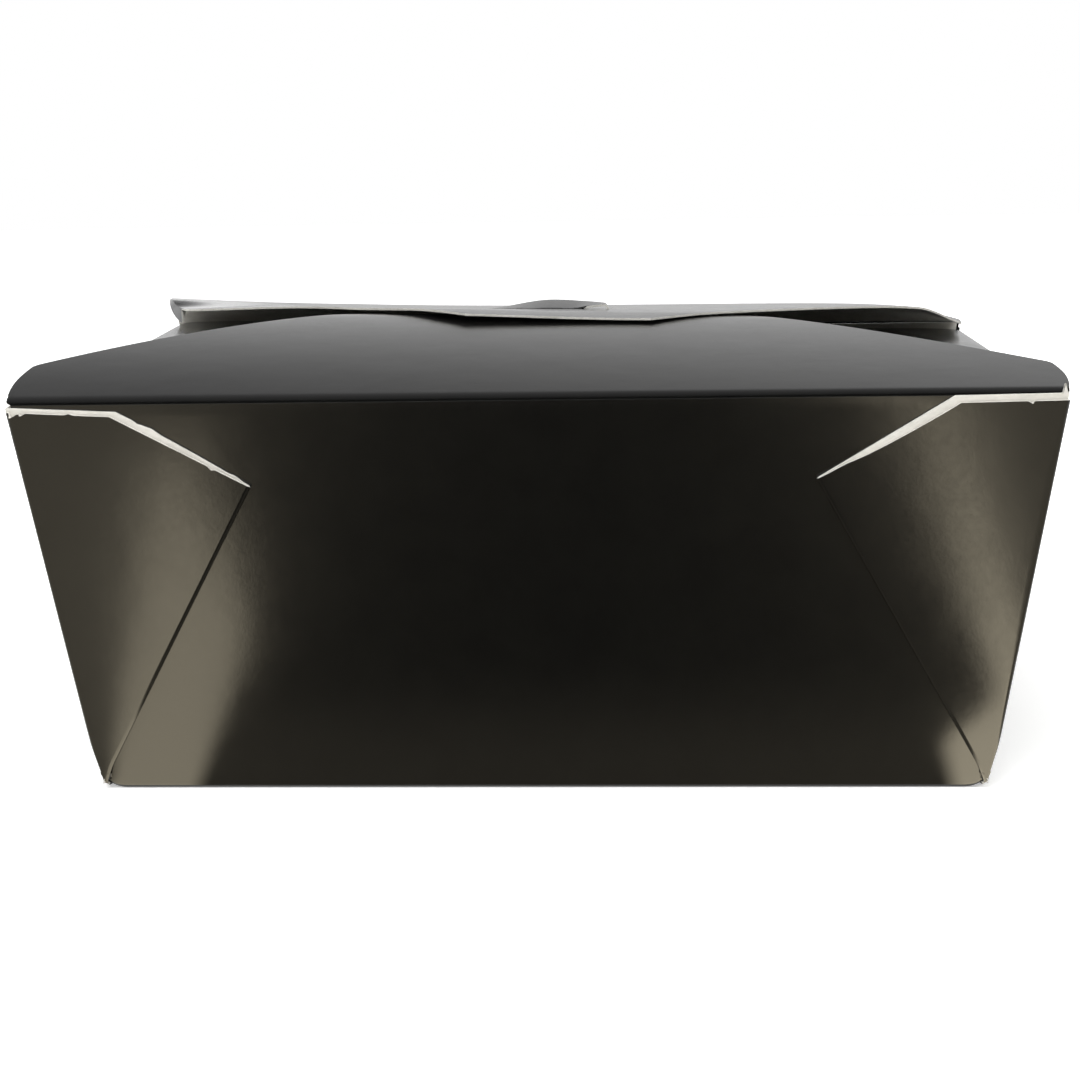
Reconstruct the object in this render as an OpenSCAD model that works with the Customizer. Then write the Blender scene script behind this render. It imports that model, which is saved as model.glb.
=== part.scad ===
// Takeaway box folded from one sheet of coated board, closed, millimetres.
// Origin at the middle of the base underside. X runs along the box, the front faces -Y, Z is up.
// The carton is the folded sheet. The top flap is the part of the same sheet that opens at the rear crease.

/* [Board] */

// Thickness of the board
board = 0.5; // [0.4:0.05:0.6]
// Slack between the wall and the ply that is folded flat against it
ply_gap = 0.15; // [0.1:0.05:0.4]
// Opening between the two plies of each corner web
web_gap = 0.2; // [0.1:0.05:0.5]
// Roundness of the folds that run round the base
base_fold = 1.4; // [0.8:0.1:3]

/* [Body] */

// Length of the base, left to right
base_length = 197; // [160:1:230]
// Width of the base, front to back
base_width = 140; // [115:1:165]
// Height of the walls up to the flap creases
wall_height = 89; // [70:1:110]
// How far each end wall leans out at the top
end_flare = 13; // [9:0.5:16]
// How far each long wall leans out at the top
side_flare = 12.5; // [9:0.5:16]

/* [Left corner webs] */

// Length of the left webs' fold, from the base corner to the tip
left_fold = 80.5; // [55:0.5:84]
// Drop of the inner ply's cut edge below the crease, at the box corner
left_drop = 1.4; // [0.4:0.1:2]
// Further drop of the outer ply's cut edge, which leaves the inner ply showing
left_step = 0.8; // [0.6:0.1:2]
// Fall of the cut edge's level stretch, from the corner to its end
left_fall = 1.1; // [0.1:0.1:3]
// How full the inner ply's slanted edge is, at its middle
left_belly = 0.4; // [0:0.1:2]

/* [Right corner webs] */

// Length of the right webs' fold, from the base corner to the tip
right_fold = 81.4; // [55:0.1:84]
// Drop of the inner ply's cut edge below the crease, at the box corner
right_drop = 0.6; // [0.4:0.1:2]
// Further drop of the outer ply's cut edge, which leaves the inner ply showing
right_step = 1.3; // [0.6:0.1:2]
// Fall of the cut edge's level stretch, from the corner to its end
right_fall = 0.3; // [0.1:0.1:3]
// How hollow the outer ply's slanted edge is, at its middle
right_hollow = 0.6; // [0:0.1:2]

/* [All corner webs] */

// How far along the wall the cut edge runs level before it slants down to the tip
web_level = 10.8; // [6:0.2:16]
// How much sooner the outer ply's edge starts to slant
level_step = 1.2; // [0:0.1:3]
// Height of the web's foot above the base
web_foot = 1.2; // [1:0.1:3]

/* [Front flap] */

// How far the front flap reaches past the middle of the box, without its tongue
front_lap = 8; // [5:0.5:12]
// Length of the front flap's short side edges, from the crease to the corner
front_side = 22; // [14:0.5:26]
// Gap between the crease's end and the box corner
front_inset = 0.5; // [0.3:0.1:2]
// How far each side edge bows out
front_bow = 1.2; // [0:0.1:2]
// Fall in width of the flap for each millimetre of its length, at each end
front_taper = 1.1; // [1:0.02:1.2]
// Height of the crown above the crease, at the left end
crown_left = 12.3; // [11:0.1:14]
// Height of the crown above the crease, at the right end
crown_right = 8.3; // [8:0.1:12]
// Distance from the middle of the box back to the crown
crown_back = 8.6; // [6:0.2:11]

/* [Rear flap outline] */

// How far the rear flap reaches past the middle of the box
rear_lap = 20; // [16:0.5:26]
// Width of the rear flap's tip
tip_width = 43; // [40:1:52]
// How far the tip has been pulled to the right
tip_shift = 3.5; // [0:0.5:5]
// Length of the rear flap's short side edges, from the crease to the corner
rear_side = 20; // [14:0.5:26]
// Distance of the left corner from the box's end
left_inset = 7; // [6:0.5:12]
// Distance of the right corner from the box's end
right_inset = 2.8; // [2.6:0.1:12]
// How far the left side edge bows out
left_bow = 6; // [1:0.1:6]
// How far the right side edge bows out
right_bow = 1.3; // [0:0.1:2]

/* [Rear flap rise] */

// Slack between the two flaps where they lap
lap_gap = 0.4; // [0.35:0.05:0.8]
// Distance from the rear flap's tip back to its crown
rear_crown_back = 12; // [8:0.5:16]
// Height that the rear crease springs the flap up by, close to the fold
spring = 5.7; // [4:0.1:7]
// Extra spring at the left end, where the crease was not pressed down
left_lift = 4.5; // [0:0.1:6]
// Distance over which the spring builds up from the crease
spring_reach = 2.6; // [2:0.1:5]
// Sag of the left end behind the corner
left_droop = 5.4; // [0:0.1:6]
// Sag of the right corner
right_droop = 2.2; // [0:0.1:2.6]
// Lift of the left side of the tip
tip_curl = 1; // [0:0.1:2]
// Depth of the left side edge, which is bent down, at its corner
ear_depth = 3.9; // [0.5:0.1:4.5]
// Width that the bent side edge keeps, seen from above
ear_width = 0.8; // [0.6:0.1:1]

/* [Tongue and slot] */

// Width of the half round slot in the rear flap
slot_width = 31; // [26:0.5:34]
// Length of the slot, from its straight edge to the top of its arc
slot_length = 12.5; // [10:0.5:13]
// Distance from the front flap's edge to the slot's straight edge
slot_step = 1; // [0.8:0.1:2]
// Clearance round the tongue inside the slot
slot_gap = 0.6; // [0.5:0.05:1]
// Reach of the tongue's neck to the left, under the slot's straight edge
neck_left = 12; // [8:0.5:12.5]
// Reach of the tongue's neck to the right
neck_right = 5.5; // [4:0.5:8]
// Height of the tongue above the rear flap
tongue_lift = 2; // [1:0.05:2.5]

/* [End flaps] */

// Length of the end flaps, which lie under the long ones
end_flap = 65; // [45:1:75]
// Drop of the left end wall below the long walls
left_end_drop = 0.6; // [0.4:0.1:1.2]
// Drop of the right end wall, which has sunk a little further
right_end_drop = 2.4; // [0.4:0.1:2.8]
// Distance from the end flap's side edge to the box corner
end_inset = 6.5; // [6:0.5:12]
// Narrowing of the end flap towards its tip, each side
end_taper = 17; // [12:1:25]
// Rise of the end flap over its length
end_rise = 2; // [0.5:0.1:2.2]
// Quick rise of the end flap, close to its crease
end_spring = 0.8; // [0:0.1:1]
// How far each corner of the end flap's tip is cut back
end_corner = 9; // [4:0.5:12]

/* [Rear crease] */

// Radius of the bead that the rear flap turns on
bead_radius = 0.3; // [0.25:0.01:0.35]
// Slack between the turning flap and the top of the rear wall
hinge_gap = 0.15; // [0.1:0.05:0.3]

/* [Hidden] */

half_base_l = base_length / 2;
half_base_w = base_width / 2;
half_top_l = half_base_l + end_flare;
half_top_w = half_base_w + side_flare;
long_lean = atan(side_flare / wall_height);
end_lean = atan(end_flare / wall_height);
slant = wall_height / cos(long_lean);
edge_lean = atan(end_flare / slant);
side_edge_lean = atan(side_flare / (wall_height / cos(end_lean)));
web_angle = (90 - edge_lean - side_edge_lean) / 2;
web_depth = ply_gap + web_gap + 2 * board;
corner_radius = (web_depth + board) / 2;
front_reach = half_top_w + front_lap;
rear_reach = half_top_w + rear_lap;
front_crown = half_top_w - crown_back;
rear_crown = rear_reach - rear_crown_back;
rear_end_gap = board + hinge_gap;
slot_start = front_lap + slot_step;
slot_radius = (slot_width * slot_width / 4 + slot_length * slot_length) / (2 * slot_length);
slot_centre = slot_start + slot_length - slot_radius;
tongue_radius = slot_radius - slot_gap;
tongue_start = slot_start + slot_gap;
tongue_level = tongue_start + slot_gap / 2;
tongue_side = sqrt(pow(tongue_radius, 2) - pow(tongue_level - slot_centre, 2));

// How the tongue's lift builds up from its left end and from its neck, where the right ear starts to
// spring up, the hook at its end, and how far the tongue's root runs into the front flap.
lift_run = 0.68 * slot_width;
lift_power = 0.6;
raise_lead = 1;
raise_run = 5;
hook = 1.2;
tongue_root = 1.5;
neck_edge = 0.25;

// Powers of the crown's curve: the left end of the front flap is rounder than the right.
power_left = 1.57;
power_right = 1.48;
power_rear = 1.36;
spring_fade = 7.85;
bow_place = 0.3;

// Where the rear flap's sags, its tip's lift and its bent edge begin, how far each takes to build up,
// and the same for the end flaps.
droop_from = 54;
droop_run = 92;
droop_clear = 6;
droop_rise = 16;
corner_run = 13;
curl_from = 70;
curl_run = 50;
ear_from = 6;
ear_cut = 0.15;
end_spring_reach = 4;
end_corner_at = 0.86;

arc_steps = 10;
row_bunching = 1.5;
past = 1;
tiny = 0.01;

function mix(a, b, t) = a + (b - a) * t;
function limit(t) = min(1, max(0, t));
function smooth(t) = limit(t) * limit(t) * (3 - 2 * limit(t));
function share(x) = (x / half_top_l + 1) / 2;

// Rise of the front flap's outer face above the crease, at x and at distance c from the crease.
function front_rise(x, c) =
    mix(crown_left, crown_right, share(x))
    * (1 - pow(abs(1 - c / front_crown), mix(power_left, power_right, share(x))));

// Rise of the rear flap's outer face: a sprung crease, then a crown, with both ends sagging, the tip
// lifted at its left, and the left side edge bent down.
function rear_spring(x) =
    spring + left_lift * pow(limit(-x / half_top_l), 2)
    - spring * pow(limit(x / half_top_l), spring_fade);
function rear_crown_height(x) = mix(crown_left, crown_right, share(x)) + board + lap_gap;
function rear_droop(x, c) =
    left_droop * smooth((-droop_from - x) / droop_run) * smooth((c - droop_clear) / droop_rise)
    + right_droop * smooth((x - half_top_l + right_inset + corner_run) / corner_run)
        * smooth(c / rear_side);
function rear_curl(x, c) =
    tip_curl * smooth((tip_width / 2 - x) / curl_run)
    * smooth((c - curl_from) / (rear_reach - curl_from));
function rear_bulk(x, c) =
    rear_spring(x) * (1 - exp(-c / spring_reach))
    + (rear_crown_height(x) - rear_spring(x)) * (1 - pow(abs(1 - c / rear_crown), power_rear))
    - rear_droop(x, c) + rear_curl(x, c);
function ear_share(c) = c > rear_side ? 0 : limit((c - ear_from) / (rear_side - ear_from));
function rear_rise(x, c) =
    rear_bulk(x, c) - ear_depth * ear_share(c) * max(0, left_edge(c) - x) / ear_width;

// Rise of an end flap above its own crease.
function end_flap_rise(c) =
    end_spring * (1 - exp(-c / end_spring_reach)) + end_rise * c / end_flap;

// Outlines: half width of the front and end flaps, and both sides of the rear flap, at distance c
// from the crease.
function front_half(c) = half_top_l - front_inset
    + (c < front_side ? front_bow * sin(180 * c / front_side) : (front_side - c) * front_taper);
function bow(c, size) = size * (1 - pow((c / rear_side - bow_place) / (1 - bow_place), 2));
function past_corner(c) = (c - rear_side) / (rear_reach - rear_side);
function left_edge(c) = c < rear_side
    ? left_inset - half_top_l - bow(c, left_bow)
    : mix(left_inset - half_top_l, tip_shift - tip_width / 2, past_corner(c));
function right_edge(c) = c < rear_side
    ? half_top_l - right_inset + bow(c, right_bow)
    : mix(half_top_l - right_inset, tip_shift + tip_width / 2, past_corner(c));
function end_half(c) = half_top_w - end_inset - end_taper * c / end_flap
    - end_corner * pow(limit((c / end_flap - end_corner_at) / (1 - end_corner_at)), 2);

// Rise of the tongue's outer face at x, y. Its neck comes up inside the slot from the front flap's
// level. Behind the slot's straight edge it lies over the rear flap, with the right ear sprung up
// and that ear's end hooked down again.
function tongue_ear(x) = smooth((x - neck_right + raise_lead) / raise_run);
function tongue_over(x, y) =
    tongue_lift
    * smooth(1 + x / lift_run)
    * mix(pow(limit((y - tongue_start) / (slot_length - 2 * slot_gap)), lift_power), 1, tongue_ear(x))
    * (1 - smooth((x - tongue_side + hook) / hook));
function tongue_rise(x, y) =
    mix(front_rise(x, half_top_w + y), rear_bulk(x, half_top_w - y) + tongue_over(x, y),
        max(limit((y - slot_start) / (tongue_level - slot_start)), tongue_ear(x)));

// A bent sheet of board between an outer and an inner grid of points, row by row.
module bent_sheet(rows, columns, top, under) {
    wide = columns + 1;
    count = (rows + 1) * wide;
    function at(r, k) = r * wide + k;
    shell_top = [
        for (r = [0:rows - 1], k = [0:columns - 1], half = [0, 1])
            half == 0
                ? [at(r, k), at(r + 1, k), at(r + 1, k + 1)]
                : [at(r, k), at(r + 1, k + 1), at(r, k + 1)]
    ];
    shell_under = [for (f = shell_top) [f[0] + count, f[2] + count, f[1] + count]];
    rim = concat(
        [for (k = [0:columns]) at(0, k)],
        [for (r = [1:rows]) at(r, columns)],
        [for (k = [columns - 1:-1:0]) at(rows, k)],
        [for (r = [rows - 1:-1:1]) at(r, 0)]
    );
    rim_count = len(rim);
    shell_rim = [
        for (i = [0:rim_count - 1], half = [0, 1])
            let (a = rim[i], b = rim[(i + 1) % rim_count])
            half == 0 ? [a, b, b + count] : [a, b + count, a + count]
    ];
    polyhedron(points = concat(top, under), faces = concat(shell_top, shell_under, shell_rim));
}

// One skin of a sheet whose points in plan are given row by row. The inner skin has an offset that
// is taken square to the sheet, so that steep stretches keep the board's thickness.
function skin(plan, offset, rise) = [
    for (p = plan)
        let (
            x = p[0],
            c = p[1],
            across = (rise(x + tiny, c) - rise(x - tiny, c)) / (2 * tiny),
            along = (rise(x, max(c, tiny)) - rise(x, max(c, tiny) - tiny)) / tiny,
            long = sqrt(1 + across * across + along * along)
        )
        [x + offset * across / long, c + offset * along / long, rise(x, c) - offset / long]
];

module curved_sheet(rows, columns, plan, rise) {
    bent_sheet(rows, columns, skin(plan, 0, rise), skin(plan, board, rise));
}

// Half round outline of the slot, with its straight side at y = 0.
module half_moon() {
    intersection() {
        translate([0, slot_length - slot_radius])
            circle(r = slot_radius, $fn = 128);
        translate([-slot_width, 0])
            square([2 * slot_width, 2 * slot_length]);
    }
}

// A round bar between two points.
module bar(a, b, radius) {
    run = b - a;
    translate(a)
        rotate([0, acos(run[2] / norm(run)), atan2(run[1], run[0])])
            cylinder(h = norm(run), r = radius, $fn = 32);
}

// Section of the body: sloping sides and rounded bottom folds.
module body_section(half, flare, height, fold) {
    tilt = atan(flare / height);
    turn = 90 - tilt;
    inset = fold * tan(turn / 2);
    foot = [
        for (i = [0:arc_steps])
            let (a = -90 + turn * i / arc_steps)
            [half - inset + fold * cos(a), fold + fold * sin(a)]
    ];
    side = concat(foot, [[half + flare, height]]);
    mirrored = [for (i = [len(side) - 1:-1:0]) [-side[i][0], side[i][1]]];
    polygon(concat(side, mirrored));
}

module body_block(half_l, half_w, flare_l, flare_w, height, fold) {
    intersection() {
        rotate([90, 0, 0])
            linear_extrude(height = 4 * half_w, center = true)
                body_section(half_l, flare_l, height, fold);
        rotate([90, 0, 90])
            linear_extrude(height = 4 * half_l, center = true)
                body_section(half_w, flare_w, height, fold);
    }
}

module tray() {
    wall_l = board / cos(end_lean);
    wall_w = board / cos(long_lean);
    inner_height = wall_height + past;
    grow = (inner_height - board) / wall_height;
    step_l = board * end_flare / wall_height;
    step_w = board * side_flare / wall_height;
    difference() {
        body_block(half_base_l, half_base_w, end_flare, side_flare, wall_height, base_fold);
        translate([0, 0, board])
            body_block(half_base_l + step_l - wall_l, half_base_w + step_w - wall_w,
                end_flare * grow, side_flare * grow, inner_height - board, base_fold - board);
        // The rear wall ends below the bead, and the end walls a little below the long ones.
        translate([-2 * half_top_l, 0, wall_height - rear_end_gap])
            cube([4 * half_top_l, 2 * half_top_w, 2 * wall_height]);
        for (end = [-1, 1])
            translate([end * half_top_l - half_top_l / 2, -half_top_w + board + past,
                wall_height - (end < 0 ? left_end_drop : right_end_drop)])
                cube([half_top_l, 4 * half_top_w, 2 * wall_height]);
    }
}

// Places a flat shape, drawn with its origin at the left base corner, on the front wall.
module on_front_wall(offset) {
    translate([-half_base_l, -half_base_w, 0])
        rotate([90 + long_lean, 0, 0])
            translate([0, 0, offset])
                children();
}

function up_edge(height) = [-height * tan(edge_lean), height];
function up_fold(height) = [height * tan(web_angle - edge_lean), height];
function web_tip(fold) = [fold * sin(web_angle - edge_lean), fold * cos(web_angle - edge_lean)];

// One ply of a corner web. The cut edge runs level along the wall, then slants to the tip.
module web_ply(fold, drop, level, fall, belly) {
    shoulder = [level, slant - drop - fall];
    tip = web_tip(fold);
    slanted = [
        for (i = [0:8])
            let (t = i / 8)
            [mix(shoulder[0], tip[0], t), mix(shoulder[1], tip[1], t) + 4 * belly * t * (1 - t)]
    ];
    linear_extrude(height = board)
        polygon(concat([up_fold(web_foot), up_edge(web_foot), up_edge(slant - drop)], slanted));
}

// Two plies with the fold along the slant, and the corner fold that carries the outer ply
// round to the end wall.
module corner_web(fold, drop, step, fall, belly, hollow) {
    fold_radius = (web_depth - ply_gap) / 2;
    tip = web_tip(fold);
    foot = up_fold(web_foot + fold_radius);
    on_front_wall(ply_gap)
        web_ply(fold, drop, web_level, fall, belly);
    on_front_wall(ply_gap + board + web_gap)
        web_ply(fold, drop + step, web_level - level_step, fall, -hollow);
    on_front_wall(ply_gap + fold_radius)
        bar([foot[0], foot[1], 0], [tip[0], tip[1], 0], fold_radius);
    low = up_edge(web_foot + corner_radius);
    high = up_edge(slant - drop - step);
    on_front_wall(web_depth - corner_radius)
        bar([low[0] + corner_radius, low[1], 0], [high[0] + corner_radius, high[1], 0], corner_radius);
}

module corner_webs() {
    for (back = [0, 1])
        mirror([0, back, 0]) {
            corner_web(left_fold, left_drop, left_step, left_fall, left_belly, 0);
            mirror([1, 0, 0])
                corner_web(right_fold, right_drop, right_step, right_fall, 0, right_hollow);
        }
}

module end_flap(drop) {
    rows = 8;
    columns = 8;
    function face(offset) = [
        for (r = [0:rows], k = [0:columns])
            let (c = end_flap * pow(r / rows, row_bunching))
            [c, end_half(c) * (1 - 2 * k / columns), end_flap_rise(c) - offset]
    ];
    translate([-half_top_l + drop * end_flare / wall_height, 0, wall_height - drop])
        bent_sheet(rows, columns, face(0), face(board));
}

module front_flap() {
    rows = 14;
    columns = 18;
    plan = [
        for (r = [0:rows], k = [0:columns])
            let (c = front_reach * pow(r / rows, row_bunching))
            [-front_half(c) * cos(180 * k / columns), c]
    ];
    translate([0, -half_top_w, wall_height])
        curved_sheet(rows, columns, plan, function (x, c) front_rise(x, c));
}

// The tongue is laid out across x: its neck starts inside the front flap, and on both sides of the
// neck an ear starts behind the slot's straight edge. All end on an arc inside the slot's own arc.
module tongue() {
    rows = 8;
    across = concat(
        [for (i = [0:3]) mix(-tongue_side, -neck_left - 2 * neck_edge, i / 3)],
        [-neck_left - neck_edge],
        [for (i = [0:7]) mix(-neck_left, neck_right, i / 7)],
        [neck_right + neck_edge],
        [for (i = [0:7]) mix(neck_right + 2 * neck_edge, tongue_side, sin(90 * i / 7))]
    );
    up_neck = [front_lap - tongue_root, slot_start, tongue_start, tongue_level];
    up_side = [slot_start, slot_start + slot_gap / 3, tongue_start, tongue_level];
    function arc_end(x) = slot_centre + sqrt(tongue_radius * tongue_radius - x * x);
    function past_neck(x) = max(x - neck_right, -neck_left - x);
    function on_stem(up, x, r) =
        r < 4 ? up[r] : mix(tongue_level, arc_end(x), (r - 3) / (rows - 3));
    function place(x, r) = past_neck(x) > 1.5 * neck_edge
        ? mix(tongue_start, arc_end(x), r / rows)
        : on_stem(past_neck(x) > neck_edge / 2 ? up_side : up_neck, x, r);
    plan = [for (r = [0:rows], x = across) [x, place(x, r)]];
    translate([0, 0, wall_height])
        curved_sheet(rows, len(across) - 1, plan, function (x, y) tongue_rise(x, y));
}

module carton() {
    color([0.13, 0.13, 0.13]) {
        tray();
        corner_webs();
        front_flap();
        tongue();
        end_flap(left_end_drop);
        mirror([1, 0, 0])
            end_flap(right_end_drop);
    }
}

module slot() {
    translate([0, slot_start, wall_height])
        linear_extrude(height = 2 * crown_left)
            half_moon();
}

module rear_bead() {
    left = left_edge(0) + front_inset;
    right = right_edge(0) - front_inset;
    translate([left, half_top_w, wall_height])
        rotate([0, 90, 0])
            cylinder(h = right - left, r = bead_radius, $fn = 48);
}

// The rear flap's sheet: its first column is the bent side edge, and the rows close to the crease
// and at the corner stand closer together.
module rear_sheet() {
    columns = 18;
    distances = concat(
        [for (r = [0:6]) rear_side * pow(r / 6, row_bunching)],
        [for (r = [0:10]) mix(rear_side + ear_cut, rear_reach, r / 10)]
    );
    function middle(c) = (right_edge(c) + left_edge(c)) / 2;
    function half(c) = (right_edge(c) - left_edge(c)) / 2;
    plan = [
        for (c = distances, k = [0:columns])
            [k == 0 ? left_edge(c) - ear_width : middle(c) - half(c) * cos(180 * (k - 1) / (columns - 1)), c]
    ];
    curved_sheet(len(distances) - 1, columns, plan, function (x, c) rear_rise(x, c));
}

module top_flap() {
    color([0.2, 0.2, 0.2])
        difference() {
            union() {
                translate([0, half_top_w, wall_height])
                    mirror([0, 1, 0])
                        rear_sheet();
                rear_bead();
            }
            slot();
        }
}

carton();
top_flap();
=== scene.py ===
"""Looks of the closed takeaway box: one sheet of black coated board, cut and folded."""
import math

import bpy
import numpy as np
from mathutils import Matrix


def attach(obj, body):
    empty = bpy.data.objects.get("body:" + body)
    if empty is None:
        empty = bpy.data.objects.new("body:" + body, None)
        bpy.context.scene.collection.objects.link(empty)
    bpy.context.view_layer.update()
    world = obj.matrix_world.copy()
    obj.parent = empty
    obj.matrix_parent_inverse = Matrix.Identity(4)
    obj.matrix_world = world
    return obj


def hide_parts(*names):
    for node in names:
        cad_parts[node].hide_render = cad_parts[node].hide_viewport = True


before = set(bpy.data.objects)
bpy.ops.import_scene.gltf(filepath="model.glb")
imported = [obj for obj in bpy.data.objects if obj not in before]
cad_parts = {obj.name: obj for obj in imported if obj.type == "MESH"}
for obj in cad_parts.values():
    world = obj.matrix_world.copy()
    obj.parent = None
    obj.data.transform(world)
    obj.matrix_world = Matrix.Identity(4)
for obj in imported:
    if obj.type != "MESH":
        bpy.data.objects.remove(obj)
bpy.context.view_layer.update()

# Sizes of the folded box in millimetres. The main ones are the CAD model's too
MM = 0.001
BOARD = 0.5
BASE_L = 98.5
BASE_W = 70.0
HEIGHT = 89.0
END_FLARE = 13.0
SIDE_FLARE = 12.5
TOP_L = BASE_L + END_FLARE
TOP_W = BASE_W + SIDE_FLARE
# Walls and base stop this far short of the corners, which the webs cover
WALL_SHORT = 1.2
LEAN = math.atan(SIDE_FLARE / HEIGHT)
END_LEAN = math.atan(END_FLARE / HEIGHT)
SLANT = HEIGHT / math.cos(LEAN)
EDGE_LEAN = math.atan(END_FLARE / SLANT)
WEB_ANGLE = (math.pi / 2 - EDGE_LEAN - math.atan(SIDE_FLARE / (HEIGHT / math.cos(END_LEAN)))) / 2
BASE_FOLD = 1.4
CREASE_ROUND = 1.1
CREASE_SPREAD = 2.8
# How far the creases of the end walls and the top of the rear wall lie below the front crease
END_DROP = {-1: 0.6, 1: 2.4}
REAR_DROP = 0.58
BEAD_R = 0.5

# Front flap: reach, width at its crease, and its side edge before it tapers
REACH_FRONT = TOP_W + 8.0
FRONT_HALF = TOP_L - 0.5
FRONT_SIDE = 22.0
FRONT_BULGE = 1.2
FRONT_TAPER = 1.1
FRONT_PEAK = TOP_W - 8.6
FRONT_POWER = (1.57, 1.48)

# Both long flaps: height of the crown at the left and the right end
CROWN = (12.3, 8.3)

# Rear flap: reach, side edges, corners and tip
REACH_REAR = TOP_W + 20.0
REAR_SIDE = 20.0
REAR_CORNERS = (7 - TOP_L, TOP_L - 2.8)
TIP = (-18.0, 25.0)
LEFT_BOW = 6
RIGHT_BOW = 1.3
BOW_PEAK = 0.3
# Its crease has sprung up, most at the left, and its crown is higher than the front flap's
SPRING = 5.7
LEFT_SPRING = 4.5
RIGHT_FALL = 7.85
SPRING_RUN = 2.6
REAR_LIFT = 0.9
REAR_PEAK = REACH_REAR - 12
REAR_POWER = 1.36
# Both ends sag and the left half of the tip curls up
LEFT_SAG = 5.4
RIGHT_SAG = 2.2
# The left side edge is bent down to an ear, which a narrow cut parts from the slanted edge
EAR_DEPTH = 3.9
EAR_WIDTH = 0.8
EAR_CUT = 0.15

# End flaps: reach, width at the crease, taper, rounded corners and rise
END_REACH = 65
END_HALF = TOP_W - 6.5
END_TAPER = 17
END_ROUND = 9
END_STRAIGHT = 0.86
END_SPRING = 0.8
LEFT_END_SPRING = 2.9
END_SLOPE = 2.0

# Slot of the rear flap and the tongue that stands in it
SLOT_START = 9.0
SLOT_W = 31.0
SLOT_L = 12.5
SLOT_R = (SLOT_W * SLOT_W / 4 + SLOT_L * SLOT_L) / (2 * SLOT_L)
SLOT_CENTRE = SLOT_START + SLOT_L - SLOT_R
SLOT_GAP = 0.6
TONGUE_R = SLOT_R - SLOT_GAP
TONGUE_START = SLOT_START + SLOT_GAP
TONGUE_LEVEL = TONGUE_START + SLOT_GAP / 2
TONGUE_SIDE = math.sqrt(TONGUE_R ** 2 - (TONGUE_LEVEL - SLOT_CENTRE) ** 2)
NECK_LEFT, NECK_RIGHT = -12.0, 5.5
TONGUE_RISE = 2.0

# Corner webs: offset of the two plies from the wall, and where their cut edge turns level
PLY_IN = 0.15
PLY_OUT = 0.85
WEB_DEPTH = PLY_OUT + BOARD
CORNER_R = (WEB_DEPTH + BOARD) / 2
WEB_FOOT = 1.2
WEB_LEVEL = 10.8
LEVEL_STEP = 1.2

# How far the bottom corners are rounded in plan and lifted, and up to what height
CORNER_ROUND = 3.2
CORNER_LIFT = 0.9
CORNER_TOP = 16.0
# The patch under each corner's folds
PATCH_TOP = 3.4
PATCH_REACH = 4.6


# Materials

def linear(hex_colour):
    """An sRGB hex colour as linear red, green, blue and alpha."""
    channels = [int(hex_colour[i:i + 2], 16) / 255 for i in (1, 3, 5)]
    return [c / 12.92 if c <= 0.04045 else ((c + 0.055) / 1.055) ** 2.4 for c in channels] + [1.0]


def node(tree, kind, settings=(), inputs=(), **links):
    """Adds one shader node with its settings, input values and incoming links."""
    made = tree.nodes.new(kind)
    for name, value in dict(settings).items():
        setattr(made, name, value)
    for name, value in dict(inputs).items():
        made.inputs[name].default_value = value
    for name, source in links.items():
        tree.links.new(source, made.inputs[name.replace("_", " ")])
    return made


def empty_material(name):
    """A new material with an empty tree: (material, tree)."""
    material = bpy.data.materials.new(name)
    material.use_nodes = True
    material.node_tree.nodes.clear()
    return material, material.node_tree


def surface(name):
    """A new board material: (material, tree, Principled node, position in millimetres)."""
    material, tree = empty_material(name)
    shader = node(tree, "ShaderNodeBsdfPrincipled")
    node(tree, "ShaderNodeOutputMaterial", Surface=shader.outputs["BSDF"])
    place = node(tree, "ShaderNodeTexCoord")
    in_mm = node(tree, "ShaderNodeVectorMath", {"operation": "SCALE"}, {"Scale": 1000.0},
                 Vector=place.outputs["Object"])
    return material, tree, shader, in_mm.outputs["Vector"]


def noise(tree, vector, size_mm, detail=3.0, roughness=0.55):
    """Fractal noise whose largest grain is size_mm across."""
    made = node(tree, "ShaderNodeTexNoise", {}, {"Scale": 1.0 / size_mm, "Detail": detail,
                                                "Roughness": roughness}, Vector=vector)
    return made.outputs["Fac"]


def ramp(tree, value, low, high, out_low, out_high):
    """Maps a value from low..high to out_low..out_high, clamped."""
    made = node(tree, "ShaderNodeMapRange", {}, {"From Min": low, "From Max": high,
                                                "To Min": out_low, "To Max": out_high}, Value=value)
    return made.outputs["Result"]


def eased(tree, value, low, high, out_low, out_high):
    """Like ramp, with soft ends."""
    made = node(tree, "ShaderNodeMapRange", {"interpolation_type": "SMOOTHSTEP"},
                {"From Min": low, "From Max": high, "To Min": out_low, "To Max": out_high}, Value=value)
    return made.outputs["Result"]


def maths(tree, operation, first, second):
    """One sum or product of a value with another value or a number."""
    made = node(tree, "ShaderNodeMath", {"operation": operation})
    tree.links.new(first, made.inputs[0])
    if isinstance(second, (int, float)):
        made.inputs[1].default_value = second
    else:
        tree.links.new(second, made.inputs[1])
    return made.outputs[0]


def mix_colour(tree, share, first, second):
    """Mixes two linear colours by share."""
    made = node(tree, "ShaderNodeMix", {"data_type": "RGBA"})
    made.inputs[6].default_value = first
    made.inputs[7].default_value = second
    tree.links.new(share, made.inputs[0])
    return made.outputs[2]


def bump(tree, height, depth_mm, below=None):
    """A bump of depth_mm, on top of another bump's normal if one is given."""
    made = node(tree, "ShaderNodeBump", {}, {"Strength": 1.0, "Distance": depth_mm * MM},
                Height=height)
    if below is not None:
        tree.links.new(below, made.inputs["Normal"])
    return made.outputs["Normal"]


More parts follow.
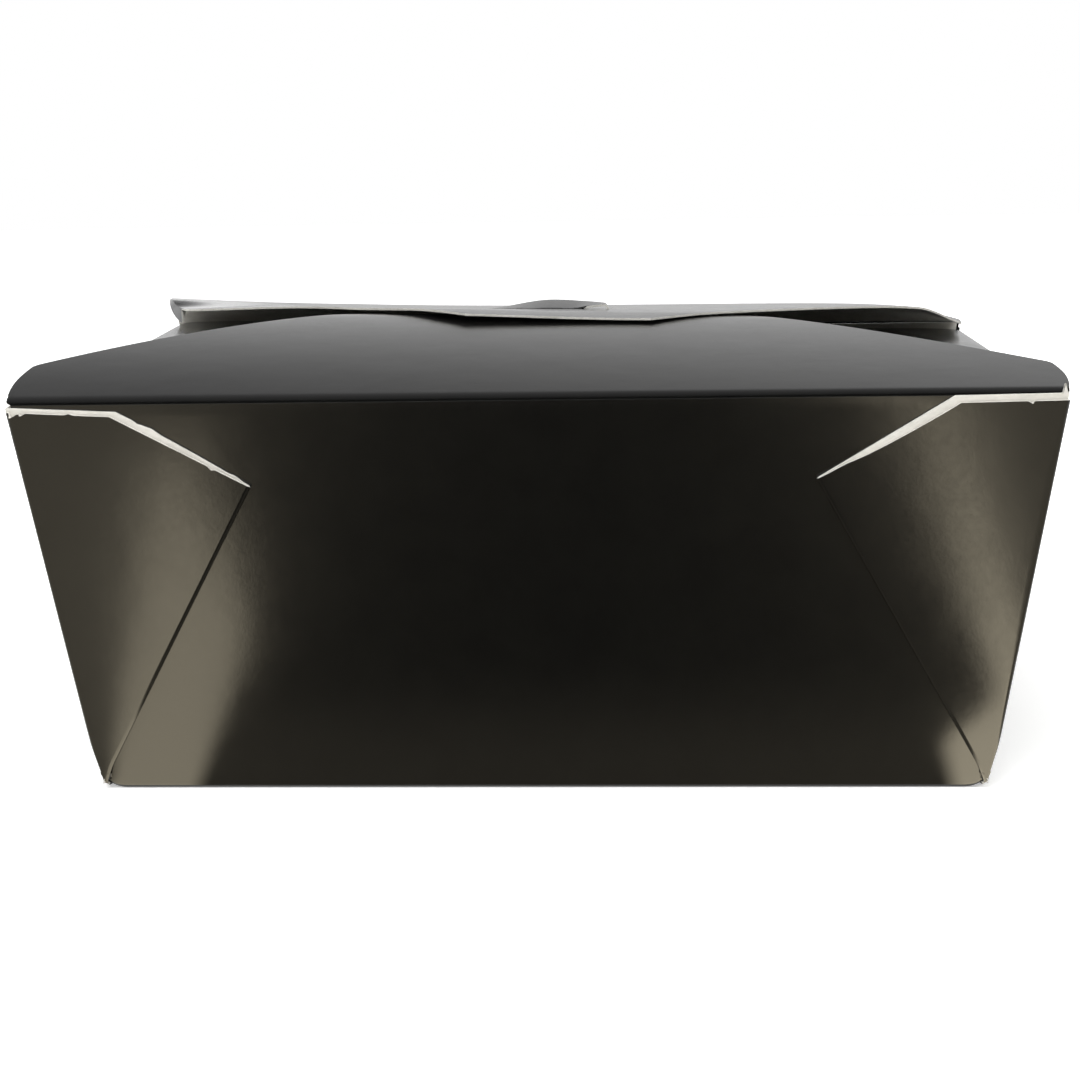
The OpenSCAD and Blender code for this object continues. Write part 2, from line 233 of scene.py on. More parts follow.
def black_coat():
    """Black varnished clay coat on paper board: the eye sees a soft gloss with faint mottling."""
    material, tree, shader, place = surface("black coated board")
    cloud = noise(tree, place, 9.0, 4.0)
    mottle = noise(tree, place, 1.3, 3.0)
    speck = noise(tree, place, 0.55, 1.0)
    tint = mix_colour(tree, ramp(tree, cloud, 0.35, 0.65, 0, 1), linear("#090909"), linear("#0c0c0b"))
    tree.links.new(tint, shader.inputs["Base Color"])
    gloss = maths(tree, "ADD", ramp(tree, cloud, 0.3, 0.7, 0.18, 0.205),
                  ramp(tree, mottle, 0.3, 0.7, -0.015, 0.015))
    tree.links.new(gloss, shader.inputs["Roughness"])
    shader.inputs["IOR"].default_value = 1.5
    formation = bump(tree, noise(tree, place, 14.0, 2.0), 0.05)
    grain = bump(tree, mottle, 0.008, formation)
    tree.links.new(bump(tree, speck, 0.004, grain), shader.inputs["Normal"])
    return material


def cut_fibre():
    """Die-cut board edge: pale pressed fibre in layers, with grey dust and torn specks."""
    material, tree, shader, place = surface("cut board edge")
    fibre = noise(tree, place, 0.35, 4.0, 0.7)
    dust = noise(tree, place, 3.2, 2.0)
    pale = mix_colour(tree, ramp(tree, fibre, 0.3, 0.7, 0, 1), linear("#c4c2ba"), linear("#e2e0da"))
    darker = node(tree, "ShaderNodeMix", {"data_type": "RGBA", "blend_type": "MULTIPLY"})
    tree.links.new(ramp(tree, dust, 0.5, 0.72, 0.0, 0.35), darker.inputs[0])
    tree.links.new(pale, darker.inputs[6])
    darker.inputs[7].default_value = linear("#a3a09a")
    tree.links.new(darker.outputs[2], shader.inputs["Base Color"])
    shader.inputs["Roughness"].default_value = 0.9
    shader.inputs["IOR"].default_value = 1.4
    tree.links.new(bump(tree, fibre, 0.05), shader.inputs["Normal"])
    return material


def bare_inside():
    """Uncoated inner face of the board: off-white and matt, with a fine fibre grain."""
    material, tree, shader, place = surface("bare board inside")
    long = node(tree, "ShaderNodeMapping", {}, {"Scale": (0.35, 1.0, 1.0)}, Vector=place)
    fibre = noise(tree, long.outputs["Vector"], 0.8, 4.0, 0.65)
    cloud = noise(tree, place, 12.0, 3.0)
    both = maths(tree, "MULTIPLY", fibre, cloud)
    tint = mix_colour(tree, ramp(tree, both, 0.15, 0.35, 0, 1),
                      linear("#cfccc4"), linear("#dedbd4"))
    tree.links.new(tint, shader.inputs["Base Color"])
    shader.inputs["Roughness"].default_value = 0.75
    shader.inputs["IOR"].default_value = 1.45
    tree.links.new(bump(tree, fibre, 0.03), shader.inputs["Normal"])
    return material


COAT = black_coat()
INSIDE = bare_inside()
EDGE = cut_fibre()


# Sheets of board

def smooth(t):
    """Eases from 0 to 1."""
    t = np.clip(t, 0.0, 1.0)
    return t * t * (3 - 2 * t)


def normals(skin, facing):
    """Unit normals of a grid of points, and whether they had to be turned to look along facing."""
    n = np.cross(np.gradient(skin, axis=0), np.gradient(skin, axis=1))
    n /= np.maximum(np.linalg.norm(n, axis=2, keepdims=True), 1e-12)
    turned = float((n @ np.asarray(facing, float)).sum()) < 0
    return (-n if turned else n), turned


def ragged(count, seed, amount):
    """Small uneven steps along a cut edge: fine fuzz with a few nicks, in millimetres."""
    draw = np.random.default_rng(seed)
    fuzz = np.convolve(draw.normal(0, 1, count + 8), np.ones(4) / 4, "same")[4:-4]
    nicks = (draw.random(count) > 0.985) * draw.uniform(-1, 0.6, count) * 3
    return (fuzz + nicks) * amount


def mesh_object(name, points, faces, slots, body, sharp=35):
    """Makes a shown piece from points in millimetres, with a material for each face."""
    mesh = bpy.data.meshes.new(name)
    mesh.from_pydata([tuple(float(v) * MM for v in p) for p in points], [], faces)
    for material in (COAT, INSIDE, EDGE):
        mesh.materials.append(material)
    mesh.polygons.foreach_set("material_index", slots)
    mesh.polygons.foreach_set("use_smooth", [True] * len(faces))
    mesh.set_sharp_from_angle(angle=math.radians(sharp))
    mesh.validate()
    made = bpy.data.objects.new(name, mesh)
    bpy.context.scene.collection.objects.link(made)
    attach(made, body)
    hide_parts("top_flap" if body == "flap" else "carton")
    return made


def settled(points):
    """Rounds the four bottom corners of the body in plan and lifts them a little off the table."""
    moved = np.array(points, float)
    x, y, z = points[..., 0], points[..., 1], points[..., 2]
    u = BASE_L + END_FLARE * z / HEIGHT - np.abs(x)
    v = BASE_W + SIDE_FLARE * z / HEIGHT - np.abs(y)
    size = np.maximum(CORNER_ROUND * smooth(1 - z / CORNER_TOP), 0.02)
    inset = np.minimum(u, v)
    path = u - v
    near = (np.abs(path) < size) & (z < CORNER_TOP)
    turn = math.pi / 4 * (1 + np.clip(path / size, -1, 1))
    moved[..., 0] -= np.where(near, np.sign(x) * (inset + size - size * np.cos(turn) - u), 0)
    moved[..., 1] -= np.where(near, np.sign(y) * (inset + size - size * np.sin(turn) - v), 0)
    reach = 1.7 * CORNER_ROUND
    lift = CORNER_LIFT * smooth(1 - u / reach) * smooth(1 - v / reach) * smooth(1 - z / CORNER_TOP)
    moved[..., 2] += lift
    return moved


def board(name, skin, facing, cut="", body="carton", seed=1, thickness=BOARD, fuzz=0.02, sharp=35,
          cut_cells=(), back_coated=False, fold_rows=0):
    """One bent sheet of board. skin is the grid of its coated face, facing the way that face looks.
    cut names its cut sides: s and e are the first and last row, l and r the first and last column.
    cut_cells are grid cells (row, column) whose faces are cut edge too. back_coated sheets are black
    on both faces. The first fold_rows of side r are a fold, so they are coated too."""
    skin = np.asarray(skin, float)
    if body == "carton":
        skin = settled(skin)
    rows, cols = skin.shape[:2]
    n, turned = normals(skin, facing)
    grid = np.arange(rows * cols).reshape(rows, cols)
    inner = skin - n * thickness
    sides = {
        "s": (grid[0, :], grid[1, :]),
        "r": (grid[:, -1], grid[:, -2]),
        "e": (grid[-1, ::-1], grid[-2, ::-1]),
        "l": (grid[::-1, 0], grid[::-1, 1]),
    }
    flat, flat_inner, flat_n = skin.reshape(-1, 3), inner.reshape(-1, 3), n.reshape(-1, 3)
    points = [flat.copy(), flat_inner.copy()]
    total = rows * cols
    faces, slots = [], []
    for i in range(rows - 1):
        for j in range(cols - 1):
            quad = [grid[i, j], grid[i + 1, j], grid[i + 1, j + 1], grid[i, j + 1]]
            if turned:
                quad = quad[::-1]
            in_cut = (i, j) in cut_cells
            faces.append([int(q) for q in quad])
            slots.append(2 if in_cut else 0)
            faces.append([int(q) + total for q in quad[::-1]])
            slots.append(2 if in_cut else 0 if back_coated else 1)
    start = 2 * total
    for k, (side, (rim, back)) in enumerate(sides.items()):
        is_cut = side in cut
        out = flat[rim] - flat[back]
        out /= np.maximum(np.linalg.norm(out, axis=1, keepdims=True), 1e-9)
        step = ragged(len(rim), seed * 7 + k, fuzz)[:, None] if is_cut else 0.0
        middle = (flat[rim] + flat_inner[rim]) / 2 + out * (step + (0.02 if is_cut else 0.0))
        points.append(middle)
        for m in range(len(rim) - 1):
            a, b = int(rim[m]), int(rim[m + 1])
            c, d = start + m, start + m + 1
            for quad in ([a, b, d, c], [c, d, b + total, a + total]):
                faces.append(quad[::-1] if turned else quad)
                slots.append(2 if is_cut and not (side == "r" and m < fold_rows) else 0)
        start += len(rim)
    return mesh_object(name, np.concatenate(points), faces, slots, body, sharp)


# Shapes of the long flaps: rise of the outer face at x, at distance c from the crease

def from_left(x, ends):
    """A value that runs evenly from the left end of the box to the right end."""
    left, right = ends
    return left + (right - left) * ((x / TOP_L + 1) / 2)


def front_rise(x, c):
    """Rise of the front flap: one even arch."""
    return from_left(x, CROWN) * (1 - np.abs(1 - c / FRONT_PEAK) ** from_left(x, FRONT_POWER))


def rear_bulk(x, c):
    """Rise of the rear flap: a sprung crease, then a crown, with sagging ends and a lifted tip."""
    to_left, to_right = np.clip(-x / TOP_L, 0, 1), np.clip(x / TOP_L, 0, 1)
    spring = SPRING + LEFT_SPRING * to_left ** 2 - SPRING * to_right ** RIGHT_FALL
    crown = from_left(x, CROWN) + REAR_LIFT
    arch = 1 - np.abs(1 - c / REAR_PEAK) ** REAR_POWER
    left_sag = LEFT_SAG * smooth((-54 - x) / 92) * smooth((c - 6) / 16)
    right_sag = RIGHT_SAG * smooth((x - TOP_L + 15.8) / 13) * smooth(c / REAR_SIDE)
    curl = smooth((21.5 - x) / 50) * smooth((c - 70) / (REACH_REAR - 70))
    return spring * (1 - np.exp(-c / SPRING_RUN)) + (crown - spring) * arch - left_sag - right_sag + curl


def rear_rise(x, c):
    """The same with the left side edge bent down, deeper towards its corner."""
    deep = np.where(c > REAR_SIDE, 0.0, np.clip((c - 6) / (REAR_SIDE - 6), 0, 1))
    return rear_bulk(x, c) - EAR_DEPTH * deep * np.maximum(0, left_edge(c) - x) / EAR_WIDTH


def front_half(c):
    """Half the width of the front flap: a bowed side, then straight to the tip."""
    side = FRONT_HALF + FRONT_BULGE * np.sin(math.pi * c / FRONT_SIDE)
    return np.where(c < FRONT_SIDE, side, FRONT_HALF - (c - FRONT_SIDE) * FRONT_TAPER)


def rear_edge(c, end, bow):
    """Place of a side edge of the rear flap: bowed outward by bow, then straight to the tip.
    end is 0 for the left one and 1 for the right one."""
    corner, tip = REAR_CORNERS[end], TIP[end]
    t = (c - REAR_SIDE) / (REACH_REAR - REAR_SIDE)
    bowed = bow * (1 - ((c / REAR_SIDE - BOW_PEAK) / (1 - BOW_PEAK)) ** 2)
    return np.where(c < REAR_SIDE, corner + bowed, corner + (tip - corner) * t)


def left_edge(c):
    """Place of the rear flap's left edge."""
    return rear_edge(c, 0, -LEFT_BOW)


def right_edge(c):
    """Place of the rear flap's right edge."""
    return rear_edge(c, 1, RIGHT_BOW)


def tongue_rise(x, y):
    """Rise of the tongue: out of the slot, over the rear flap, with its right ear sprung up."""
    ear = smooth((x - NECK_RIGHT + 1) / 5)
    t = np.clip((y - TONGUE_START) / (SLOT_L - 2 * SLOT_GAP), 0, 1)
    front = ear * (0.15 + 0.5 * np.clip((x - NECK_RIGHT) / 9, 0, 1))
    over = TONGUE_RISE * smooth(1 + x / (0.68 * SLOT_W)) * (front + (1 - front) * t ** 0.95)
    over *= 1 - smooth((x - TONGUE_SIDE + 1.2) / 1.2)
    up = np.maximum(np.clip((y - SLOT_START) / (TONGUE_LEVEL - SLOT_START), 0, 1), ear)
    return front_rise(x, TOP_W + y) * (1 - up) + (rear_bulk(x, TOP_W - y) + over) * up


def end_half(c):
    """Half the width of an end flap: tapered, with rounded corners."""
    rounded = np.clip((c / END_REACH - END_STRAIGHT) / (1 - END_STRAIGHT), 0, 1)
    return END_HALF - END_TAPER * c / END_REACH - END_ROUND * rounded ** 2


def end_rise(side, y, c):
    """Rise of an end flap. The left one has sprung up at its rear end."""
    extra = smooth((y + 30) / 125) if side < 0 else 0 * y
    spring = END_SPRING + LEFT_END_SPRING * extra
    return spring * (1 - np.exp(-c / (4 - 2.5 * extra))) + END_SLOPE * c / END_REACH


def sweep(half, rows, cols, shift=0.0):
    """x positions of a grid whose rows are half wide each side of shift."""
    across = -np.cos(np.linspace(0, math.pi, cols)) * 0.35 + np.linspace(-1, 1, cols) * 0.65
    return (np.zeros(rows) + shift)[:, None] + np.asarray(half)[:, None] * across[None, :]


def arc(centre, radius, start, end, steps):
    """Points on an arc, angles in degrees."""
    a = np.radians(np.linspace(start, end, steps))
    return np.stack([centre[0] + radius * np.cos(a), centre[1] + radius * np.sin(a)], axis=1)


def wall_profile(half_base, flare, top, fold=BASE_FOLD, steps=30):
    """Outer skin of a wall in its own plane: base fold and straight wall.
    Each point is (distance outward, height)."""
    tilt = math.atan(flare / HEIGHT)
    turn = 90 - math.degrees(tilt)
    inset = fold * math.tan(math.radians(turn / 2))
    foot = arc((half_base - inset, fold), fold, -90, -90 + turn, 9)
    ends_at = np.array([half_base + flare * top / HEIGHT, top])
    t = np.concatenate([np.linspace(0, 0.12, 7)[1:], np.linspace(0.12, 1, steps)[1:]])
    wall = foot[-1] + (ends_at - foot[-1]) * t[:, None]
    return np.concatenate([foot, wall])


def folded_over(profile, rise, across, spread, steps=12):
    """Rounds the crease between a wall and its flap: rows of (outward, height) that follow the
    flap's own rise at each place across. The wall's profile has to end below the crease."""
    wall_top = profile[-1]
    upward = profile[-1] - profile[-2]
    corner = wall_top + upward / np.linalg.norm(upward) * CREASE_ROUND
    away = np.stack([np.full_like(across, corner[0] - spread), corner[1] + rise(across, spread)], axis=-1)
    t = np.linspace(0, 1, steps)[1:, None, None]
    return wall_top * (1 - t) ** 2 + corner * 2 * t * (1 - t) + away[None, :, :] * t ** 2


# Carton: the front wall with its flap and tongue

def front_panel():
    """The front wall and, past its crease, the front flap."""
    profile = wall_profile(BASE_W, SIDE_FLARE, HEIGHT - CREASE_ROUND * math.cos(LEAN))
    wall_half = BASE_L - WALL_SHORT + END_FLARE * profile[:, 1] / HEIGHT
    cols = 121
    across = sweep([FRONT_HALF], 1, cols)[0]
    crease = folded_over(profile, front_rise, across, CREASE_SPREAD)
    ease = np.linspace(0, 1, len(crease))
    crease_half = wall_half[-1] + (FRONT_HALF - wall_half[-1]) * np.minimum(ease * 3, 1)
    flap_c = CREASE_SPREAD + (REACH_FRONT - CREASE_SPREAD) * np.linspace(0, 1, 56)[1:] ** 1.2
    half = np.concatenate([wall_half, crease_half + ease * 0.3, front_half(flap_c)])
    x = sweep(half, len(half), cols)
    skin = np.zeros(x.shape + (3,))
    skin[..., 0] = x
    walls, bends = len(profile), len(crease)
    skin[:walls, :, 1] = -profile[:, 0][:, None]
    skin[:walls, :, 2] = profile[:, 1][:, None]
    skin[walls:walls + bends, :, 1] = -crease[..., 0]
    skin[walls:walls + bends, :, 2] = crease[..., 1]
    c = flap_c[:, None]
    skin[walls + bends:, :, 1] = -TOP_W + c
    skin[walls + bends:, :, 2] = HEIGHT + front_rise(x[walls + bends:], c)
    return board("front_panel", skin, (0, -1, 0.6), cut="lre", seed=3)


def tongue():
    """The half round tongue: columns run from its neck or, beside the neck, from its ears' edge."""
    rows = 26
    step = 0.25
    right_ear = NECK_RIGHT + 2 * step
    across = np.concatenate([
        np.linspace(-TONGUE_SIDE, NECK_LEFT - 2 * step, 9), [NECK_LEFT - step],
        np.linspace(NECK_LEFT, NECK_RIGHT, 24), [NECK_RIGHT + step],
        right_ear + (TONGUE_SIDE - right_ear) * np.sin(np.linspace(0, math.pi / 2, 26)),
    ])
    end = SLOT_CENTRE + np.sqrt(TONGUE_R ** 2 - across ** 2)
    t = np.linspace(0, 1, rows)[:, None]
    past = np.maximum(across - NECK_RIGHT, NECK_LEFT - across)
    stem_start = np.where(past > step / 2, SLOT_START, REACH_FRONT - TOP_W - 0.02)
    start = np.where(past > 1.5 * step, TONGUE_START, stem_start)
    y = start + (end - start) * t ** 1.4
    skin = np.zeros((rows, len(across), 3))
    skin[..., 0] = across
    skin[..., 1] = y
    skin[..., 2] = HEIGHT + tongue_rise(skin[..., 0], y)
    return board("tongue", skin, (0, 0, 1), cut="slre", seed=12)


def rear_wall():
    """The rear wall, up to the crease of the rear flap."""
    profile = wall_profile(BASE_W, SIDE_FLARE, HEIGHT - REAR_DROP)
    half = BASE_L - WALL_SHORT + END_FLARE * profile[:, 1] / HEIGHT
    x = sweep(half, len(half), 61)
    skin = np.zeros(x.shape + (3,))
    skin[..., 0] = x
    skin[..., 1] = profile[:, 0][:, None]
    skin[..., 2] = profile[:, 1][:, None]
    return board("rear_wall", skin, (0, 1, 0), seed=4)


def end_panel(side):
    """An end wall with the flap that lies under the long ones. side is -1 for left, 1 for right."""
    top = HEIGHT - END_DROP[side]
    profile = wall_profile(BASE_L, END_FLARE, top - CREASE_ROUND * math.cos(END_LEAN))
    wall_half = BASE_W + 0.4 + SIDE_FLARE * profile[:, 1] / HEIGHT
    cols = 61
    spread = 2.0
    across = sweep([END_HALF], 1, cols)[0]
    crease = folded_over(profile, lambda place, reach: end_rise(side, place, reach), across, spread)
    ease = np.minimum(np.linspace(0, 1, len(crease)) * 4, 1)
    c = spread + (END_REACH - spread) * np.linspace(0, 1, 30)[1:] ** 1.2
    half = np.concatenate([wall_half, wall_half[-1] + (END_HALF - wall_half[-1]) * ease, end_half(c)])
    y = sweep(half, len(half), cols)
    skin = np.zeros(y.shape + (3,))
    skin[..., 1] = y
    walls, bends = len(profile), len(crease)
    skin[:walls, :, 0] = profile[:, 0][:, None]
    skin[:walls, :, 2] = profile[:, 1][:, None]
    skin[walls:walls + bends, :, 0] = crease[..., 0]
    skin[walls:walls + bends, :, 2] = crease[..., 1]
    skin[walls + bends:, :, 0] = (TOP_L - END_DROP[side] * END_FLARE / HEIGHT - c)[:, None]
    skin[walls + bends:, :, 2] = top + end_rise(side, y[walls + bends:], c[:, None])
    skin[..., 0] *= side
    name = "left_end" if side < 0 else "right_end"
    return board(name, skin, (side, 0, 0.6), cut="lre", seed=5 + side)


def base_panel():
    """The flat base, with its rows closer together near the walls."""
    rows = 61
    x = sweep(np.full(rows, BASE_L - WALL_SHORT), rows, 81)
    y = np.linspace(-1, 1, rows)
    y = (y * 0.6 + np.sin(y * math.pi / 2) * 0.4) * (BASE_W - WALL_SHORT)
    skin = np.zeros(x.shape + (3,))
    skin[..., 0] = x
    skin[..., 1] = y[:, None]
    return board("base", skin, (0, 0, -1), seed=8)


# Corner webs

def on_long_wall(across, up, offset, side, back):
    """Points at (across, up) in the plane of a long wall, offset outward. Across is from the base
    corner towards the middle. side is -1 for left, back is 1 for the rear wall."""
    x = (BASE_L - across) * side
    y = (BASE_W + up * math.sin(LEAN) + offset * math.cos(LEAN)) * back
    z = up * math.cos(LEAN) - offset * math.sin(LEAN)
    return np.stack(np.broadcast_arrays(x, y, z), axis=-1)


# The fold between the plies, seen in the plane of the wall: its direction and the way across it
FOLD_DIR = np.array([math.sin(WEB_ANGLE - EDGE_LEAN), math.cos(WEB_ANGLE - EDGE_LEAN)])
FOLD_ACROSS = np.array([FOLD_DIR[1], -FOLD_DIR[0]])
FOLD_ROWS = 40
# The plies stop this far short of the fold's line, and the rounded fold reaches on from there
FOLD_BACK = 1.0
FOLD_REACH = 0.8
# Above 1 the pressed fold is flatter than round, with a bevelled side
FOLD_BEVEL = 1.5

# Each side's webs: fold length, drop of the inner ply's edge, further drop of the outer ply's edge,
# fall of the level stretch, belly of the inner slant and hollow of the outer one
WEBS = {-1: (80.5, 1.4, 0.8, 1.1, 0.4, 0.0), 1: (81.4, 0.6, 1.3, 0.3, 0.0, 0.6)}

# Nicks and nubs of the cut edges in the photo: (place across, height, width) for each side
INNER_MARKS = {-1: [(18.2, 0.35, 1.2), (15.2, -0.25, 0.5), (35.4, 0.3, 0.9)], 1: [(-11.6, 2.1, 0.36)]}
OUTER_MARKS = {-1: [(1.0, 0.3, 0.6), (-9.1, -0.5, 0.5), (-11.5, -1.0, 1.2), (30.4, -0.5, 0.5)],
               1: [(-4.7, -0.45, 0.45), (33.0, 0.3, 3.0)]}
# How far below the edge a mark dies away
MARK_DEPTH = 1.2


def marked(plane, far, marks):
    """Moves a ply near its cut edge, so that the edge carries its nicks and nubs."""
    moved = plane.copy()
    cut = far[FOLD_ROWS - 1:][::-1]
    below = np.interp(plane[..., 0], cut[:, 0], cut[:, 1]) - plane[..., 1]
    for place, height, width in marks:
        near = np.exp(-((plane[..., 0] - place) / width) ** 2) * np.exp(-np.maximum(below, 0) / MARK_DEPTH)
        moved[..., 1] += height * near
    return moved


def opening(count):
    """How far the fold has opened at count points along it: shut at its foot, and soon open."""
    return smooth(np.linspace(0, 12, count))[:, None]


def web_far(fold_length, level, fall, drop, belly, start):
    """Far boundary of a web ply: up the fold to the tip, down the slanted cut, level to the corner."""
    fold = FOLD_DIR * np.linspace(WEB_FOOT, fold_length, FOLD_ROWS)[:, None]
    fold -= FOLD_ACROSS * FOLD_BACK * opening(FOLD_ROWS)
    tip = fold[-1]
    shoulder = np.array([level, SLANT - drop - fall])
    t = np.linspace(0, 1, 81)[1:, None]
    slanted = tip + (shoulder - tip) * t
    slanted[:, 1] += (4 * belly * t * (1 - t))[:, 0]
    corner = np.array([start, SLANT - drop])
    flat = shoulder + (corner - shoulder) * np.linspace(0, 1, 71)[1:, None]
    return np.concatenate([fold, slanted, flat])


def up_corner(far, inset):
    """Near boundary of a web ply: up the corner, with as many points as the far one, and bunched
    so that the last rows fan out over the cut edge."""
    rows = len(far)
    t = np.concatenate([np.linspace(0, 0.86, 40), 0.86 + 0.14 * np.linspace(0, 1, rows - 39)[1:] ** 0.8])
    up = WEB_FOOT + (far[-1, 1] - WEB_FOOT) * t
    return np.stack([-up * math.tan(EDGE_LEAN) + inset, up], axis=1)


def web(side, back, number):
    """A corner web: outer ply that runs round the corner, inner ply, and the fold between them."""
    label = ("left" if side < 0 else "right") + ("_rear" if back > 0 else "_front")
    fold_length, drop, step, fall, belly, hollow = WEBS[side]
    shown = back < 0
    s = np.sin(np.linspace(0, math.pi / 2, 56))[None, :, None]
    edge_x = -(SLANT - drop - step) * math.tan(EDGE_LEAN) + CORNER_R
    past_corner = 0.3
    far = web_far(fold_length, WEB_LEVEL - LEVEL_STEP, fall, drop + step, -hollow, edge_x + past_corner)
    near = up_corner(far, CORNER_R)
    plane = near[:, None, :] * (1 - s) + far[:, None, :] * s
    plane = marked(plane, far, OUTER_MARKS[side] if shown else [])
    ply = on_long_wall(plane[..., 0], plane[..., 1], WEB_DEPTH, side, back)
    # The ply turns round the corner to the end wall
    z = near[:, 1] * math.cos(LEAN) - WEB_DEPTH * math.sin(LEAN)
    end_x = BASE_L + END_FLARE * z / HEIGHT
    wall_y = BASE_W + near[:, 1] * math.sin(LEAN) + WEB_DEPTH * math.cos(LEAN)
    turns = 9
    corner = np.zeros((len(far), turns, 3))
    for k in range(turns):
        a = math.radians(90 * k / turns)
        corner[:, k, 0] = (end_x - CORNER_R + CORNER_R * math.cos(a)) * side
        corner[:, k, 1] = (wall_y - CORNER_R + CORNER_R * math.sin(a)) * back
        corner[:, k, 2] = z
    outer = np.concatenate([corner, ply], axis=1)
    board("web_outer_" + label, outer, (side * 0.3, back, 0), cut="re", seed=20 + number,
          fold_rows=FOLD_ROWS - 1)

    # Inner ply: its bare face looks outward and shows above the outer ply's cut edge
    inset, past_corner = 0.5, 0.1
    edge_x = -(SLANT - drop) * math.tan(EDGE_LEAN) + inset
    far = web_far(fold_length, WEB_LEVEL, fall, drop, belly, edge_x + past_corner)
    near = up_corner(far, inset)
    plane = near[:, None, :] * (1 - s) + far[:, None, :] * s
    plane = marked(plane, far, INNER_MARKS[side] if shown else [])
    inner = on_long_wall(plane[..., 0], plane[..., 1], PLY_IN, side, back)
    board("web_inner_" + label, inner, (0, -back, 0), cut="re", seed=30 + number,
          fold_rows=FOLD_ROWS - 1)

    # Fold between the plies
    radius = (WEB_DEPTH - PLY_IN) / 2
    steps = 48
    spine = FOLD_DIR * np.linspace(WEB_FOOT, fold_length, steps)[:, None]
    back_off = FOLD_BACK * opening(steps)
    reach = radius + (FOLD_REACH - radius) * opening(steps)
    tube = np.zeros((steps, 13, 3))
    for k in range(13):
        a = math.radians(90 - 180 * k / 12)
        depth = PLY_IN + radius + radius * math.copysign(abs(math.sin(a)) ** FOLD_BEVEL, a)
        edge = spine + FOLD_ACROSS * (reach * math.cos(a) ** FOLD_BEVEL - back_off)
        tube[:, k] = on_long_wall(edge[:, 0], edge[:, 1], depth, side, back)
    board("web_fold_" + label, tube, (-side * 0.7, back, 0), cut="e", seed=40 + number)


def base_corner(side, back):
    """The patch that closes the corner between two base folds, below the web's foot."""
    foot = wall_profile(0.0, SIDE_FLARE, PATCH_TOP, steps=4)
    path = np.linspace(-1, 1, 29) * PATCH_REACH
    skin = np.zeros((len(foot), len(path), 3))
    for i, (out, z) in enumerate(foot):
        # The front and rear walls carry the web's plies, so the patch stands out as far there
        plies_end = z * FOLD_DIR[0] / FOLD_DIR[1] + out + 0.6
        stand = (WEB_DEPTH + 0.1) * smooth((plies_end - path) / 0.5) - 0.1
        stand = np.where(path > 0, stand, 0.0) * smooth(z / 3)
        u = np.where(path > 0, path - out, -out)
        v = np.where(path > 0, -out - stand, -path - out)
        skin[i, :, 0] = side * (BASE_L - u)
        skin[i, :, 1] = back * (BASE_W - v)
        skin[i, :, 2] = z
    name = "base_corner_" + ("left" if side < 0 else "right") + ("_rear" if back > 0 else "_front")
    board(name, skin, (side, back, -0.3), seed=50, back_coated=True)


# Rear flap

def top_flap():
    """The rear flap: columns across it with its bent ear, and the slot cut out of it."""
    side_c = REAR_SIDE * np.linspace(0, 1, 30) ** 1.5
    c = np.concatenate([side_c, np.linspace(REAR_SIDE + EAR_CUT, REACH_REAR, 56)])
    low, high = left_edge(c), right_edge(c)
    main = sweep((high - low) / 2, len(c), 121, (high + low) / 2)
    bent = 6
    ear = low[:, None] - EAR_WIDTH * np.linspace(1, 0, bent + 1)[None, :-1]
    x = np.concatenate([ear, main], axis=1)
    skin = np.zeros(x.shape + (3,))
    skin[..., 0] = x
    skin[..., 1] = TOP_W - c[:, None]
    skin[..., 2] = HEIGHT + rear_rise(x, c[:, None])
    corner_row = len(side_c) - 1
    cells = {(corner_row, j) for j in range(bent)}
    sheet = board("rear_flap", skin, (0, 0.2, 1), cut="lre", body="flap", seed=9, cut_cells=cells)
    cutter = slot_cutter()
    cut = sheet.modifiers.new("slot", "BOOLEAN")
    cut.operation = "DIFFERENCE"
    cut.solver = "EXACT"
    cut.object = cutter
    bpy.context.view_layer.update()
    done = sheet.evaluated_get(bpy.context.evaluated_depsgraph_get())
    mesh = bpy.data.meshes.new_from_object(done)
    sheet.modifiers.clear()
    sheet.data = mesh
    mesh.set_sharp_from_angle(angle=math.radians(35))
    bpy.data.objects.remove(cutter)


def crease_bead():
    """The bent board of the rear crease: a bead along the hinge that closes the gap to the wall."""
    rings, ring = 17, 61
    x = sweep([TOP_L - 2.3], 1, ring)
    skin = np.zeros((rings, ring, 3))
    for k, turn in enumerate(np.linspace(0, 2 * math.pi, rings)):
        skin[k, :, 0] = x[0]
        skin[k, :, 1] = TOP_W - 0.05 + BEAD_R * math.cos(turn)
        skin[k, :, 2] = HEIGHT - 0.05 + BEAD_R * math.sin(turn)
    faces = [[k * ring + j, k * ring + j + 1, (k + 1) * ring + j + 1, (k + 1) * ring + j]
             for k in range(rings - 1) for j in range(ring - 1)]
    mesh_object("crease_bead", skin.reshape(-1, 3), faces, [0] * len(faces), "flap")


def slot_cutter():
    """A prism with the slot's half round outline. Its sides are cut edge, so the hole's are too."""
    half_angle = math.asin(min(1.0, SLOT_W / 2 / SLOT_R))
    a = np.linspace(-half_angle, half_angle, 49)
    ring = np.stack([SLOT_R * np.sin(a), SLOT_CENTRE + SLOT_R * np.cos(a)], axis=1)
    count = len(ring)
    points = [(p[0], p[1], HEIGHT + 2) for p in ring] + [(p[0], p[1], HEIGHT + 20) for p in ring]
    faces = [list(range(count))[::-1], list(range(count, 2 * count))]
    faces += [[i, (i + 1) % count, (i + 1) % count + count, i + count] for i in range(count)]
    mesh = bpy.data.meshes.new("slot cutter")
    mesh.from_pydata([tuple(float(v) * MM for v in p) for p in points], [], faces)
    for material in (COAT, INSIDE, EDGE):
        mesh.materials.append(material)
    mesh.polygons.foreach_set("material_index", [2] * len(faces))
    made = bpy.data.objects.new("slot cutter", mesh)
    bpy.context.scene.collection.objects.link(made)
    return made


